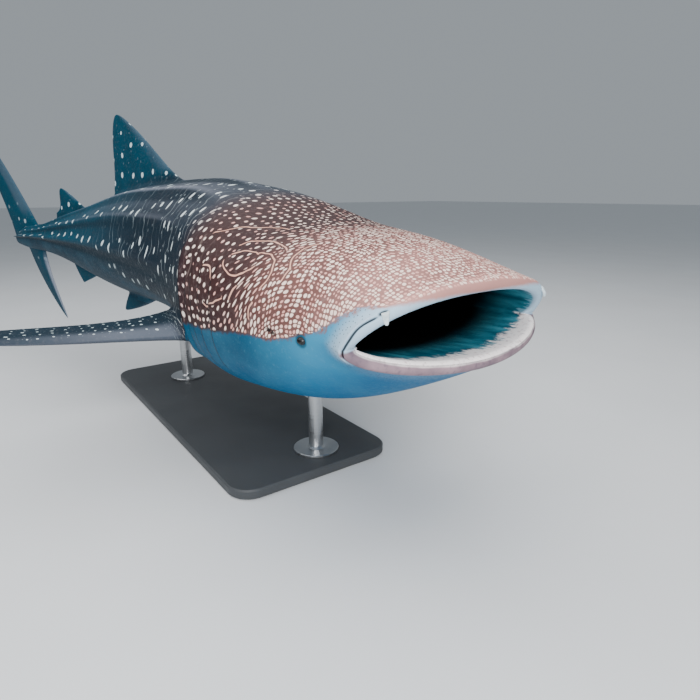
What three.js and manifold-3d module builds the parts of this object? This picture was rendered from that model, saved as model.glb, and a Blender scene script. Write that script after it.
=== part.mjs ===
// Whale shark at life size, 6 m long, swimming with its mouth open and its tail
// swung to its right, carried level on a flat display stand by two short rods.
//
// Millimetres, +Z up, head towards +X, the animal's left towards +Y. The floor is
// z = 0 and the origin is under the middle of the stand's base.
//
// The body is laid out in body coordinates: s is the distance back from the snout
// along the body's line, y is to the animal's left, z is up from that line.
import * as THREE from "three";
import { mergeVertices } from "three/addons/utils/BufferGeometryUtils.js";
import Module from "manifold-3d";

const wasm = await Module();
wasm.setup();
const { Manifold, Mesh: SolidMesh } = wasm;
const PI = Math.PI;

// Where the body stands
const LINE_HEIGHT = 950;
const SNOUT_X = 1960;
const SNOUT_Y = 92;
const GAP = 0.3;

// The body's line is straight to here, then bends to the animal's right
const BEND_FROM = 1150;
const BEND_RADIUS = 8070;

// Cross sections, from the snout to the end of the tail stalk
const STATION = [0, 250, 550, 950, 1350, 1800, 2400, 3000, 3600, 4200, 4600, 4850, 4970];
const BACK = [117, 209, 262, 305, 400, 472, 478, 445, 338, 218, 142, 112, 46];
const BELLY = [234, 324, 424, 494, 532, 412, 338, 330, 265, 140, 87, 64, 38];
const HALF_WIDTH = [460, 432, 514, 574, 546, 477, 423, 360, 272, 175, 108, 60, 30];
const WIDEST = [-45, -58, -69, -64, -53, -31, -2, 15, 31, 37, 41, 31, 27];
const SQUARE_STATION = [0, 600, 1200, 1800, 2400, 3600, 4970];
const SQUARENESS = [2.3, 2.4, 2.5, 2.3, 2.15, 2.1, 2.0];

// Mouth: a wide oval across the front of the head
const MOUTH_HALF_WIDTH = 455;
const MOUTH_ABOVE = 178;
const MOUTH_BELOW = 84;
const MOUTH_Z = -58;
const MOUTH_CORNER_S = 150;
const LOWER_LIP_S = -13;
const UPPER_SQUARENESS = 2.25;
const LOWER_SQUARENESS = 1.9;
const LOWER_REACH = 1.2;
const LIP_RADIUS = 24;
const CHEEK_END = 550;
const THROAT_END = 1300;
const THROAT_DROP = 100;

// Gill flaps: five on each side, each lying over the next slit
const GILL_SLITS = [800, 930, 1050, 1160, 1260, 1335];
const GILL_RISE = 13;
const LAST_GILL_RISE = 28;
const GILL_STEP = 12;

// Ridges along the back and sides: angle from the top, height, half angle
const RIDGES = [
  { angle: 0, rise: 16, spread: 7 },
  { angle: 28.125, rise: 14, spread: 6 },
  { angle: 56.25, rise: 18, spread: 6 },
  { angle: 84.375, rise: 22, spread: 6 },
];
const KEEL_GAIN = 1.4;

// Thin cuts between the lengths of the body
const JAW_TILT = 0.34;
const JAW_BELOW_CORNER = 14;
const CUT_HEAD = 620;
const CUT_GILLS = 1365;
const CUT_TORSO = 2420;
const CUT_STALK = 3720;
const CUT_TAIL = 4780;

// Eyes and spiracles: share of the way from the lip to the end of the cheek, and
// degrees down from the top. Nostrils and barbels: turn round the rolled lip
const EYE = { share: 0.6, angle: 93 };
const EYE_RADIUS = 21;
const EYE_DEPTH = 7;
const LID_RADIUS = 7;
const LID_TURN = 0.1;
const SPIRACLE = { share: 0.95, angle: 89 };
const SPIRACLE_RADII = [22, 20, 7];
const NOSTRIL = { turn: 0.45, angle: 53 };
const NOSTRIL_RADII = [14, 20, 9];
const BARBEL = { turn: 1.15, angle: 53 };
const BARBEL_LENGTH = 48;
const BARBEL_WIDTH = 26;

// Stand
const BASE_LENGTH = 2200;
const BASE_WIDTH = 900;
const BASE_THICK = 50;
const BASE_CORNER = 120;
const BASE_BEVEL = 8;
const ROD_RADIUS = 38;
const ROD_FLANGE_RADIUS = 120;
const ROD_FLANGE_THICK = 14;
const ROD_S = [1060, 2640];

const COLUMNS = 64;
const FOIL_POINTS = 9;

// Small functions
const clamp = (x, low, high) => Math.min(Math.max(x, low), high);
const mix = (a, b, t) => a + (b - a) * t;
const smooth = (a, b, x) => {
  const t = clamp((x - a) / (b - a), 0, 1);
  return t * t * (3 - 2 * t);
};
const bump = (d, w) => Math.exp(-((d / w) ** 2));
const range = (n) => Array.from({ length: n }, (_, i) => i);
const spaced = (a, b, n) => range(n).map((i) => mix(a, b, i / (n - 1)));
const degrees = (a) => (a * 180) / PI;

// Natural cubic spline through the points, held level outside them
function spline(xs, ys) {
  const n = xs.length;
  const diagonal = new Array(n).fill(1);
  const right = new Array(n).fill(0);
  const upper = new Array(n).fill(0);
  const curve = new Array(n).fill(0);
  for (let i = 1; i < n - 1; i++) {
    const before = xs[i] - xs[i - 1];
    const after = xs[i + 1] - xs[i];
    const turn = (ys[i + 1] - ys[i]) / after - (ys[i] - ys[i - 1]) / before;
    const carried = i > 1 ? before / diagonal[i - 1] : 0;
    diagonal[i] = 2 * (before + after) - carried * upper[i - 1];
    upper[i] = after;
    right[i] = 6 * turn - carried * right[i - 1];
  }
  for (let i = n - 2; i > 0; i--) {
    curve[i] = (right[i] - upper[i] * curve[i + 1]) / diagonal[i];
  }
  return (x) => {
    const at = clamp(x, xs[0], xs[n - 1]);
    let k = 0;
    while (k < n - 2 && xs[k + 1] < at) k++;
    const h = xs[k + 1] - xs[k];
    const a = (xs[k + 1] - at) / h;
    const b = 1 - a;
    const cubic = (a ** 3 - a) * curve[k] + (b ** 3 - b) * curve[k + 1];
    return a * ys[k] + b * ys[k + 1] + (cubic * h * h) / 6;
  };
}
const back = spline(STATION, BACK);
const belly = spline(STATION, BELLY);
const halfWidth = spline(STATION, HALF_WIDTH);
const widest = spline(STATION, WIDEST);
const squareness = spline(SQUARE_STATION, SQUARENESS);

// Body coordinates to the part's frame: the line is straight, then an arc
function placed([s, y, z]) {
  const turn = Math.max(s - BEND_FROM, 0) / BEND_RADIUS;
  const ahead = Math.min(s, BEND_FROM) + BEND_RADIUS * Math.sin(turn);
  const aside = BEND_RADIUS * (1 - Math.cos(turn));
  return [
    SNOUT_X - ahead - y * Math.sin(turn),
    SNOUT_Y - aside + y * Math.cos(turn),
    LINE_HEIGHT + z,
  ];
}

// Angle down from the top of the section, the same on both sides, 0 to PI
const sideAngle = (t) => Math.abs(((t + PI) % (2 * PI)) - PI);

// How far the gill flaps stand out
function gillRise(s, t) {
  const side = degrees(sideAngle(t));
  const window = smooth(48, 66, side) * (1 - smooth(118, 134, side));
  let rise = 0;
  for (let i = 0; i < GILL_SLITS.length - 1; i++) {
    const start = GILL_SLITS[i];
    const end = GILL_SLITS[i + 1];
    const height = i === GILL_SLITS.length - 2 ? LAST_GILL_RISE : GILL_RISE;
    if (s > start && s <= end) rise += height * ((s - start) / (end - start)) ** 1.5;
    if (s > end) rise += height * Math.exp(-(s - end) / (GILL_STEP / 3));
  }
  return rise * window;
}

// How far the ridges stand out; the lowest one grows into the keel of the tail stalk
function ridgeRise(s, t) {
  const side = degrees(sideAngle(t));
  let rise = 0;
  RIDGES.forEach((ridge, i) => {
    const lowest = i === RIDGES.length - 1;
    const along = lowest
      ? smooth(1400, 2400, s)
      : smooth(1200, 2000, s) * (1 - smooth(4300, 4800, s));
    const keel = KEEL_GAIN * smooth(3600, 4600, s) * (1 - smooth(4750, 4970, s));
    const height = lowest ? ridge.rise * (1 + keel) : ridge.rise;
    rise += height * along * bump(side - ridge.angle, ridge.spread);
  });
  return rise;
}

// A rounded section of the body at s, at the angle t from the top towards the left
function section(s, t) {
  const n = squareness(s);
  const across = Math.sin(t);
  const up = Math.cos(t);
  const size = (Math.abs(across) ** n + Math.abs(up) ** n) ** (1 / n);
  const centre = widest(s);
  const height = up >= 0 ? back(s) - centre : centre + belly(s);
  const rise = ridgeRise(s, t) + gillRise(s, t);
  const y = (halfWidth(s) * across) / size + rise * across;
  const z = centre + (height * up) / size + rise * up;
  return [s, y, z];
}

// The edge of the mouth at the angle t: place and outward direction
function mouthEdge(t) {
  const across = Math.sin(t);
  const up = Math.cos(t);
  const n = up >= 0 ? UPPER_SQUARENESS : LOWER_SQUARENESS;
  const size = (Math.abs(across) ** n + Math.abs(up) ** n) ** (1 / n);
  const height = up >= 0 ? MOUTH_ABOVE : MOUTH_BELOW;
  const reach = Math.abs(up / size) ** (up >= 0 ? 1 : LOWER_REACH);
  const s = mix(MOUTH_CORNER_S, up >= 0 ? 0 : LOWER_LIP_S, reach);
  const ny = across / MOUTH_HALF_WIDTH;
  const nz = up / height;
  const length = Math.hypot(ny, nz);
  return {
    s,
    y: (MOUTH_HALF_WIDTH * across) / size,
    z: MOUTH_Z + (height * up) / size,
    ny: ny / length,
    nz: nz / length,
  };
}

// Head from the lip (share 0) to the end of the cheek (share 1)
function cheek(share, t) {
  const edge = mouthEdge(t);
  const s = mix(edge.s, CHEEK_END, share);
  const [, y, z] = section(s, t);
  const [, y0, z0] = section(edge.s, t);
  const pull = (1 - share) ** 2;
  return [
    s,
    y + (edge.y + LIP_RADIUS * edge.ny - y0) * pull,
    z + (edge.z + LIP_RADIUS * edge.nz - z0) * pull,
  ];
}

// Rolled lip, from its outer side (turn 0) round the front to its inner side (PI)
function lip(turn, t) {
  const edge = mouthEdge(t);
  const out = LIP_RADIUS * Math.cos(turn);
  return [edge.s - LIP_RADIUS * Math.sin(turn), edge.y + out * edge.ny, edge.z + out * edge.nz];
}

// Lining of the mouth, from the lip (share 0) to the back of the throat (share 1)
function throat(share, t) {
  const edge = mouthEdge(t);
  const narrow = Math.sqrt(1 - share ** 2.6) * (1 + 0.35 * share * (1 - share));
  const tall = 1 + 0.9 * share * (1 - share);
  const y = edge.y - LIP_RADIUS * edge.ny;
  const z = edge.z - LIP_RADIUS * edge.nz - MOUTH_Z;
  return [
    mix(edge.s, THROAT_END, share),
    y * narrow,
    MOUTH_Z - THROAT_DROP * share + z * narrow * tall,
  ];
}

// Closed surface over rows of points, each row a ring, with a point at each end
function closedGrid(rows) {
  const around = rows[0].length;
  const middle = (row) => [0, 1, 2].map((k) => row.reduce((sum, p) => sum + p[k], 0) / around);
  const points = [middle(rows[0]), ...rows.flat(), middle(rows[rows.length - 1])];
  const index = [];
  const at = (i, j) => 1 + i * around + (j % around);
  for (let j = 0; j < around; j++) {
    index.push(0, at(0, j), at(0, j + 1));
    index.push(points.length - 1, at(rows.length - 1, j + 1), at(rows.length - 1, j));
    for (let i = 0; i < rows.length - 1; i++) {
      index.push(at(i, j), at(i + 1, j), at(i + 1, j + 1));
      index.push(at(i, j), at(i + 1, j + 1), at(i, j + 1));
    }
  }
  const geometry = new THREE.BufferGeometry();
  geometry.setAttribute("position", new THREE.Float32BufferAttribute(points.flat(), 3));
  geometry.setIndex(index);
  return geometry;
}

// Geometry to a solid, turned so that its faces look outwards
function solidOf(geometry) {
  const bare = new THREE.BufferGeometry();
  bare.setAttribute("position", geometry.getAttribute("position"));
  bare.setIndex(geometry.index);
  const merged = mergeVertices(bare, 1e-4);
  const triVerts = new Uint32Array(merged.index.array);
  const make = () =>
    new Manifold(
      new SolidMesh({ numProp: 3, vertProperties: merged.attributes.position.array, triVerts }),
    );
  const solid = make();
  if (solid.volume() > 0) return solid;
  for (let i = 0; i < triVerts.length; i += 3) {
    [triVerts[i + 1], triVerts[i + 2]] = [triVerts[i + 2], triVerts[i + 1]];
  }
  return make();
}

// The largest closed piece of a solid
const largest = (solid) =>
  solid.decompose().reduce((best, piece) => (piece.volume() > best.volume() ? piece : best));

// The same surface moved out along its own normals
function grown(geometry, distance) {
  const bigger = geometry.clone();
  bigger.computeVertexNormals();
  const position = bigger.getAttribute("position");
  const normal = bigger.getAttribute("normal");
  for (let i = 0; i < position.count; i++) {
    position.setXYZ(
      i,
      position.getX(i) + distance * normal.getX(i),
      position.getY(i) + distance * normal.getY(i),
      position.getZ(i) + distance * normal.getZ(i),
    );
  }
  return bigger;
}

// The whole body as one skin: tail, trunk, gills, cheeks, lips and throat
const angles = range(COLUMNS).map((j) => (2 * PI * j) / COLUMNS);
const ring = (surface, value) => angles.map((t) => placed(surface(value, t)));
const trunkStations = spaced(STATION[STATION.length - 1], 1430, 18);
const gillStations = [];
for (let i = GILL_SLITS.length - 1; i > 0; i--) {
  const end = GILL_SLITS[i];
  const width = end - GILL_SLITS[i - 1];
  gillStations.push(end + GILL_STEP, end, end - 0.4 * width);
}
const neckStations = spaced(GILL_SLITS[0], CHEEK_END, 5);
const bodyRows = [
  ...[...trunkStations, ...gillStations, ...neckStations].map((s) => ring(section, s)),
  ...spaced(1, 0, 10).slice(1).map((share) => ring(cheek, share)),
  ...spaced(0, PI, 5).slice(1).map((turn) => ring(lip, turn)),
  ...[0.1, 0.28, 0.48, 0.68, 0.86, 0.96].map((share) => ring(throat, share)),
];
const bodyGeometry = closedGrid(bodyRows);
const body = solidOf(bodyGeometry);
const facesOut = (() => {
  const trial = solidOf(grown(bodyGeometry, GAP));
  return trial.volume() > body.volume() ? 1 : -1;
})();
const bodyClear = solidOf(grown(bodyGeometry, GAP * 1.3 * facesOut));

// Half spaces on either side of a cut across the body's line at s
function cutPlane(s) {
  const here = new THREE.Vector3(...placed([s, 0, 0]));
  const behind = new THREE.Vector3(...placed([s + 1, 0, 0]));
  const normal = behind.sub(here).normalize();
  return { normal, offset: normal.dot(here) };
}
function between(solid, from, to) {
  let kept = solid;
  if (from !== null) {
    const { normal, offset } = cutPlane(from);
    kept = kept.trimByPlane(normal.toArray(), offset + GAP / 2);
  }
  if (to !== null) {
    const { normal, offset } = cutPlane(to);
    kept = kept.trimByPlane(normal.clone().negate().toArray(), -offset + GAP / 2);
  }
  return kept;
}

// Half thickness of a streamlined section over the chord, 1 at its thickest
function foil(x) {
  const form = 0.2969 * Math.sqrt(x) - 0.126 * x - 0.3516 * x ** 2 + 0.2843 * x ** 3;
  return 10 * (form - 0.1036 * x ** 4);
}
const EDGE_THICK = 4;
const foilLoop = (() => {
  const chord = range(FOIL_POINTS).map((i) => (1 - Math.cos((PI * i) / (FOIL_POINTS - 1))) / 2);
  const upper = chord.map((x) => ({ x, side: 1 }));
  const lower = chord.slice(1, -1).reverse().map((x) => ({ x, side: -1 }));
  return [...upper, ...lower];
})();

// A fin: q runs from the root to the tip along span, chord positions run along s
function finGeometry({ root, span, chord = [1, 0, 0], lead, trail, thick, stations, flex = () => 0 }) {
  const chordWay = new THREE.Vector3(...chord).normalize();
  const spanWay = new THREE.Vector3(...span);
  const outWay = new THREE.Vector3().crossVectors(chordWay, spanWay).normalize();
  const rows = stations.map((q) => {
    const close = Math.sqrt(Math.max(1 - Math.max(q, 0) ** 6, 0));
    const centre = (lead(q) + trail(q)) / 2;
    const half = ((trail(q) - lead(q)) / 2) * close;
    return foilLoop.map(({ x, side }) => {
      const along = centre - half + 2 * half * x;
      const edge = EDGE_THICK * (1 - (2 * x - 1) ** 8);
      const out = side * (thick(q) * foil(x) + edge) * close + flex(q);
      const point = new THREE.Vector3(...root);
      point.addScaledVector(chordWay, along);
      point.addScaledVector(spanWay, q);
      point.addScaledVector(outWay, out);
      return placed(point.toArray());
    });
  });
  return closedGrid(rows);
}
const finStations = (n, below = -0.12) => [below, ...spaced(0, 1, n).map((u) => Math.sin((u * PI) / 2))];
const rootFlare = (q, size, width) => size * Math.exp(-Math.max(q, 0) / width);

// First dorsal fin: tall and swept, with a straight rear edge
const firstDorsal = finGeometry({
  root: [2490, 0, 440],
  span: [0, 0, 520],
  lead: (q) => 705 * q - 25 - rootFlare(q, 250, 0.09),
  trail: (q) => 880 + 10 * q + rootFlare(q, 60, 0.3),
  thick: (q) => 20 * (1 - 0.6 * q) + rootFlare(q, 22, 0.1),
  stations: finStations(12),
});

// Second dorsal fin: small, above the tail stalk
const secondDorsal = finGeometry({
  root: [3830, 0, 250],
  span: [0, 0, 205],
  lead: (q) => 335 * q - rootFlare(q, 60, 0.1),
  trail: (q) => 430 + 15 * q - 40 * q * (1 - q) + rootFlare(q, 80, 0.15),
  thick: (q) => 11 * (1 - 0.6 * q) + rootFlare(q, 10, 0.1),
  stations: finStations(10, -0.3),
});

// Anal fin: small, below the tail stalk
const anal = finGeometry({
  root: [3790, 0, -130],
  span: [0, 0, -205],
  lead: (q) => 250 - 540 * (1 - q),
  trail: (q) => 410 - 100 * q + rootFlare(q, 40, 0.1),
  thick: (q) => 11 * (1 - 0.6 * q) + rootFlare(q, 10, 0.1),
  stations: finStations(10, -0.3),
});

// Pelvic fins: small, on either side of the belly; side is 1 for the left
const pelvic = (side) =>
  finGeometry({
    root: [2620, side * 110, -235],
    span: [40, side * 70, -200],
    lead: (q) => 400 * Math.max(q, 0) ** 1.6,
    trail: (q) => 510 + 20 * q - 60 * q * (1 - q) + rootFlare(q, 40, 0.1),
    thick: (q) => 13 * (1 - 0.6 * q) + rootFlare(q, 12, 0.1),
    stations: finStations(9, -0.25),
  });

// Pectoral fins: long, nearly level, swept back to a blunt point
const pectoral = (side) =>
  finGeometry({
    root: [1385, side * 470, -262],
    chord: [1, 0, 0.13],
    span: [330, side * 1050, 5],
    lead: (q) => 60 * Math.max(q, 0) ** 1.6 - 35 * Math.exp(-Math.max(q, 0) / 0.08),
    trail: (q) => 400 - 120 * q - 110 * Math.sin(PI * clamp(q, 0, 1)) * (1 - q) + rootFlare(q, 40, 0.1),
    thick: (q) => 30 * (1 - 0.75 * q) + rootFlare(q, 26, 0.12),
    stations: finStations(12, -0.15),
    flex: (q) => side * 30 * q * q,
  });

// Tail fin: a tall upper lobe and a shorter lower lobe bent to the left, in one blade
const UPPER_LOBE = 1100;
const LOWER_LOBE = 860;
function tailGeometry() {
  const lower = spaced(1, 0.08, 9).map((u) => -LOWER_LOBE * Math.sin((u * PI) / 2));
  const upper = spaced(0.05, 1, 11).map((u) => UPPER_LOBE * Math.sin((u * PI) / 2));
  const rows = [...lower, ...upper].map((height) => {
    const isUpper = height >= 0;
    const u = isUpper ? height / UPPER_LOBE : -height / LOWER_LOBE;
    const lead = isUpper ? 4600 + 760 * u ** 1.1 : 4610 + 290 * u ** 1.3;
    const trail = isUpper ? 5010 + 500 * u ** 1.3 : 5010 - 150 * smooth(0, 0.15, u) + 80 * u * u;
    const close = Math.sqrt(Math.max(1 - u ** 8, 0));
    const half = ((trail - lead) / 2) * close;
    const thick = 16 * (1 - 0.6 * u) + 14 * Math.exp(-u / 0.12);
    const bend = isUpper ? 0 : 330 * u ** 1.5;
    return foilLoop.map(({ x, side }) => {
      const edge = EDGE_THICK * (1 - (2 * x - 1) ** 8);
      const out = side * (thick * foil(x) + edge) * close;
      return placed([(lead + trail) / 2 - half + 2 * half * x, out + bend, 40 + height]);
    });
  });
  return closedGrid(rows);
}

// A place on the left or right cheek, out from the skin by so much
function onCheek({ share, angle }, side, out) {
  const t = (angle * PI) / 180;
  const [s, y, z] = cheek(share, t);
  return [s, side * (y + out * Math.sin(t)), z + out * Math.cos(t)];
}

// A place on the left or right side of the rolled lip
function onLip({ turn, angle }, side) {
  const [s, y, z] = lip(turn, (angle * PI) / 180);
  return [s, side * y, z];
}

// Balls and rings set on the head
function ballSolid(centre, radii) {
  const ball = new THREE.SphereGeometry(1, 14, 8);
  ball.scale(...radii);
  ball.translate(...placed(centre));
  return solidOf(ball);
}
function lidSolid(side) {
  const ringShape = new THREE.TorusGeometry(EYE_RADIUS, LID_RADIUS, 6, 16);
  ringShape.rotateX(-side * (PI / 2));
  ringShape.rotateZ(side * LID_TURN);
  ringShape.translate(...placed(onCheek(EYE, side, 0)));
  return solidOf(ringShape);
}

// Small flap at the front of each nostril, hanging over the upper lip
const barbel = (side) =>
  finGeometry({
    root: onLip(BARBEL, side),
    chord: [0.35, side, -0.25],
    span: [-0.3 * BARBEL_LENGTH, 0.05 * side * BARBEL_LENGTH, -0.95 * BARBEL_LENGTH],
    lead: (q) => -BARBEL_WIDTH / 2 + 6 * q,
    trail: (q) => BARBEL_WIDTH / 2 - 6 * q,
    thick: (q) => 2.5 - q,
    stations: finStations(4, -0.3),
  });

// Stand: a flat base and two rods, each with a round foot
function baseGeometry() {
  const shape = new THREE.Shape();
  const length = BASE_LENGTH / 2;
  const width = BASE_WIDTH / 2;
  const r = BASE_CORNER;
  shape.moveTo(-length + r, -width);
  shape.lineTo(length - r, -width);
  shape.absarc(length - r, -width + r, r, -PI / 2, 0, false);
  shape.lineTo(length, width - r);
  shape.absarc(length - r, width - r, r, 0, PI / 2, false);
  shape.lineTo(-length + r, width);
  shape.absarc(-length + r, width - r, r, PI / 2, PI, false);
  shape.lineTo(-length, -width + r);
  shape.absarc(-length + r, -width + r, r, PI, 1.5 * PI, false);
  const slab = new THREE.ExtrudeGeometry(shape, {
    depth: BASE_THICK - 2 * BASE_BEVEL,
    bevelEnabled: true,
    bevelThickness: BASE_BEVEL,
    bevelSize: BASE_BEVEL,
    bevelOffset: -BASE_BEVEL,
    bevelSegments: 1,
    curveSegments: 6,
  });
  slab.translate(0, 0, BASE_BEVEL);
  return slab;
}
function rodGeometry(s) {
  const bottom = BASE_THICK + GAP;
  const top = LINE_HEIGHT - 200;
  const profile = [
    [0, bottom],
    [ROD_FLANGE_RADIUS - 3, bottom],
    [ROD_FLANGE_RADIUS, bottom + 3],
    [ROD_FLANGE_RADIUS, bottom + ROD_FLANGE_THICK - 3],
    [ROD_FLANGE_RADIUS - 3, bottom + ROD_FLANGE_THICK],
    [ROD_RADIUS + 10, bottom + ROD_FLANGE_THICK],
    [ROD_RADIUS, bottom + ROD_FLANGE_THICK + 10],
    [ROD_RADIUS, top],
    [0, top],
  ].map(([r, z]) => new THREE.Vector2(r, z));
  const rod = new THREE.LatheGeometry(profile, 24);
  rod.rotateX(PI / 2);
  const [x, y] = placed([s, 0, 0]);
  rod.translate(x, y, 0);
  return rod;
}

// Finishes: skin, eye, base and rods
const skin = { color: 0x5f6468, roughness: 0.55, metalness: 0 };
const wetEye = { color: 0x111214, roughness: 0.15, metalness: 0 };
const baseFinish = { color: 0x2b2d30, roughness: 0.6, metalness: 0 };
const steel = { color: 0xb8bcc0, roughness: 0.35, metalness: 1 };

const whole = new THREE.Group();
function addNode(name, solid, finish) {
  const mesh = solid.getMesh();
  const positions = new Float32Array(mesh.numVert * 3);
  for (let i = 0; i < mesh.numVert; i++) {
    const start = i * mesh.numProp;
    positions.set(mesh.vertProperties.subarray(start, start + 3), i * 3);
  }
  const geometry = new THREE.BufferGeometry();
  geometry.setAttribute("position", new THREE.BufferAttribute(positions, 3));
  geometry.setIndex(new THREE.BufferAttribute(mesh.triVerts, 1));
  const node = new THREE.Mesh(geometry, new THREE.MeshStandardMaterial(finish));
  node.name = name;
  whole.add(node);
}

const eyePlace = (side) => onCheek(EYE, side, -EYE_DEPTH);

// Head and lower jaw, parted by a cut that falls back from the corners of the mouth
let front = between(body, null, CUT_HEAD);
for (const side of [1, -1]) {
  front = front.add(lidSolid(side));
  front = front.subtract(ballSolid(eyePlace(side), Array(3).fill(EYE_RADIUS + GAP)));
  front = front.subtract(ballSolid(onCheek(SPIRACLE, side, 0), SPIRACLE_RADII));
  front = front.subtract(ballSolid(onLip(NOSTRIL, side), NOSTRIL_RADII));
}
const jawUp = new THREE.Vector3(0, 0, 1).applyAxisAngle(new THREE.Vector3(0, 1, 0), -JAW_TILT);
const jawAt = jawUp.dot(new THREE.Vector3(...placed([MOUTH_CORNER_S, 0, MOUTH_Z - JAW_BELOW_CORNER])));
const upperHead = front.trimByPlane(jawUp.toArray(), jawAt + GAP / 2);
const lowerHead = front.trimByPlane(jawUp.clone().negate().toArray(), -jawAt + GAP / 2);
addNode("head", largest(upperHead), skin);
addNode("lower_jaw", largest(lowerHead), skin);

// The other lengths of the body
addNode("gill_region", largest(between(body, CUT_HEAD, CUT_GILLS)), skin);
addNode("torso_front", largest(between(body, CUT_GILLS, CUT_TORSO)), skin);
addNode("torso_rear", largest(between(body, CUT_TORSO, CUT_STALK)), skin);
addNode("tail_stalk", largest(between(body, CUT_STALK, CUT_TAIL)), skin);

// Fins, each cut clear of the body that it stands on
const offBody = (geometry) => largest(solidOf(geometry).subtract(bodyClear));
const stalkClear = between(bodyClear, null, CUT_TAIL + GAP);
const tailBlade = solidOf(tailGeometry()).subtract(stalkClear);
const tailRoot = between(body, CUT_TAIL, null);
addNode("tail_fin", largest(tailBlade.add(tailRoot)), skin);
addNode("first_dorsal_fin", offBody(firstDorsal), skin);
addNode("second_dorsal_fin", offBody(secondDorsal), skin);
addNode("anal_fin", offBody(anal), skin);
for (const [name, side] of [["left", 1], ["right", -1]]) {
  addNode("pectoral_fin_" + name, offBody(pectoral(side)), skin);
  addNode("pelvic_fin_" + name, offBody(pelvic(side)), skin);
  addNode("nasal_barbel_" + name, offBody(barbel(side)), skin);
  addNode("eye_" + name, ballSolid(eyePlace(side), Array(3).fill(EYE_RADIUS)), wetEye);
}

// Stand
addNode("stand_base", solidOf(baseGeometry()), baseFinish);
["front", "rear"].forEach((name, i) => {
  addNode("stand_rod_" + name, offBody(rodGeometry(ROD_S[i])), steel);
});

export default whole;
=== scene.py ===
"""Whale shark at life size, mouth open, carried level on a flat display stand.

Metres, +Z up, head towards +X, the animal's left towards +Y, floor at z = 0.
"""

import bpy
import numpy as np
from mathutils import Matrix


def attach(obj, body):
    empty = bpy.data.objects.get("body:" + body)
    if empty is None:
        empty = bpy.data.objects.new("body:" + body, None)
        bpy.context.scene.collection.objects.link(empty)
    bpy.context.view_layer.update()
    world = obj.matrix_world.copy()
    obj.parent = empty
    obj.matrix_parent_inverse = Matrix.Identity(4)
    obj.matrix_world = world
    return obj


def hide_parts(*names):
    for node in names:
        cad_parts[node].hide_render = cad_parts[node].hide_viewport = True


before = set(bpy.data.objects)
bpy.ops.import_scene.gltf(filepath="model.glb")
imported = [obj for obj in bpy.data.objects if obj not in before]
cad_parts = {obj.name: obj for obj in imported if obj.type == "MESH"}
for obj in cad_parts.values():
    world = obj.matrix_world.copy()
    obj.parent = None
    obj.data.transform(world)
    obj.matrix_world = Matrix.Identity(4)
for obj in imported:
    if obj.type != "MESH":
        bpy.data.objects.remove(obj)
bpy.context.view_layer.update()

# Body skin
# One skin from the end of the tail stalk to the back of the throat: rubbery hide
# over solid flesh, with gill flaps, ridges, rolled lips and the lining of the
# mouth drawn in the same surface. It stands for the six solids of the body.
SNOUT = np.array([1.96, 0.092, 0.95])
BEND_FROM, BEND_RADIUS = 1.15, 8.07
STALK_END = 4.97
STATION = [0, 0.25, 0.55, 0.95, 1.35, 1.80, 2.40, 3.00, 3.60, 4.20, 4.60, 4.85, STALK_END]
BACK = [0.117, 0.209, 0.262, 0.305, 0.400, 0.472, 0.478, 0.445, 0.338, 0.218, 0.142, 0.112, 0.046]
BELLY = [0.234, 0.324, 0.424, 0.494, 0.532, 0.412, 0.338, 0.330, 0.265, 0.140, 0.087, 0.064, 0.038]
HALF_WIDTH = [0.460, 0.432, 0.514, 0.574, 0.546, 0.477, 0.423, 0.360, 0.272, 0.175, 0.108, 0.060, 0.030]
WIDEST = [-0.045, -0.058, -0.069, -0.064, -0.053, -0.031, -0.002, 0.015, 0.031, 0.037, 0.041, 0.031, 0.027]
GILL_SLITS = [0.800, 0.930, 1.050, 1.160, 1.260, 1.335]
FLAP_RISE, LAST_FLAP_RISE, FLAP_EDGE = 0.013, 0.028, 0.004
MOUTH_HALF_WIDTH, MOUTH_ABOVE, MOUTH_BELOW = 0.455, 0.178, 0.084
MOUTH_Z, CORNER_S, LOWER_LIP_S, LIP_RADIUS = -0.058, 0.150, -0.013, 0.024
UPPER_POWER, LOWER_POWER, LOWER_REACH = 2.25, 1.9, 1.2
CHEEK_END, THROAT_END, THROAT_DROP = 0.55, 1.30, 0.10
COLUMNS = 288

# Ridges: degrees down from the top, height, and half width in degrees
BAND = 28.125
LOWEST_RIDGE = 3 * BAND
RIDGES = [(0.0, 0.016, 7), (BAND, 0.014, 6), (2 * BAND, 0.018, 6), (LOWEST_RIDGE, 0.022, 6)]


def spline(xs, ys):
    """Natural cubic spline: curvatures from the tridiagonal system, held level outside."""
    xs, ys = np.array(xs, float), np.array(ys, float)
    h = np.diff(xs)
    system = np.eye(len(xs))
    right = np.zeros(len(xs))
    for i in range(1, len(xs) - 1):
        system[i, i - 1 : i + 2] = h[i - 1], 2 * (h[i - 1] + h[i]), h[i]
        right[i] = 6 * ((ys[i + 1] - ys[i]) / h[i] - (ys[i] - ys[i - 1]) / h[i - 1])
    curve = np.linalg.solve(system, right)

    def at(x):
        x = np.clip(x, xs[0], xs[-1])
        k = np.clip(np.searchsorted(xs, x, side="right") - 1, 0, len(xs) - 2)
        a = (xs[k + 1] - x) / h[k]
        b = 1 - a
        bow = (a**3 - a) * curve[k] + (b**3 - b) * curve[k + 1]
        return a * ys[k] + b * ys[k + 1] + bow * h[k] ** 2 / 6

    return at


back, belly = spline(STATION, BACK), spline(STATION, BELLY)
half_width, widest = spline(STATION, HALF_WIDTH), spline(STATION, WIDEST)
squareness = spline([0, 0.6, 1.2, 1.8, 2.4, 3.6, STALK_END], [2.3, 2.4, 2.5, 2.3, 2.15, 2.1, 2.0])


def smooth(a, b, x):
    """Smooth step from 0 at a to 1 at b."""
    u = np.clip((x - a) / (b - a), 0, 1)
    return u * u * (3 - 2 * u)


def hump(distance, width):
    """Bell of height 1 and the given half width."""
    return np.exp(-((distance / width) ** 2))


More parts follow.
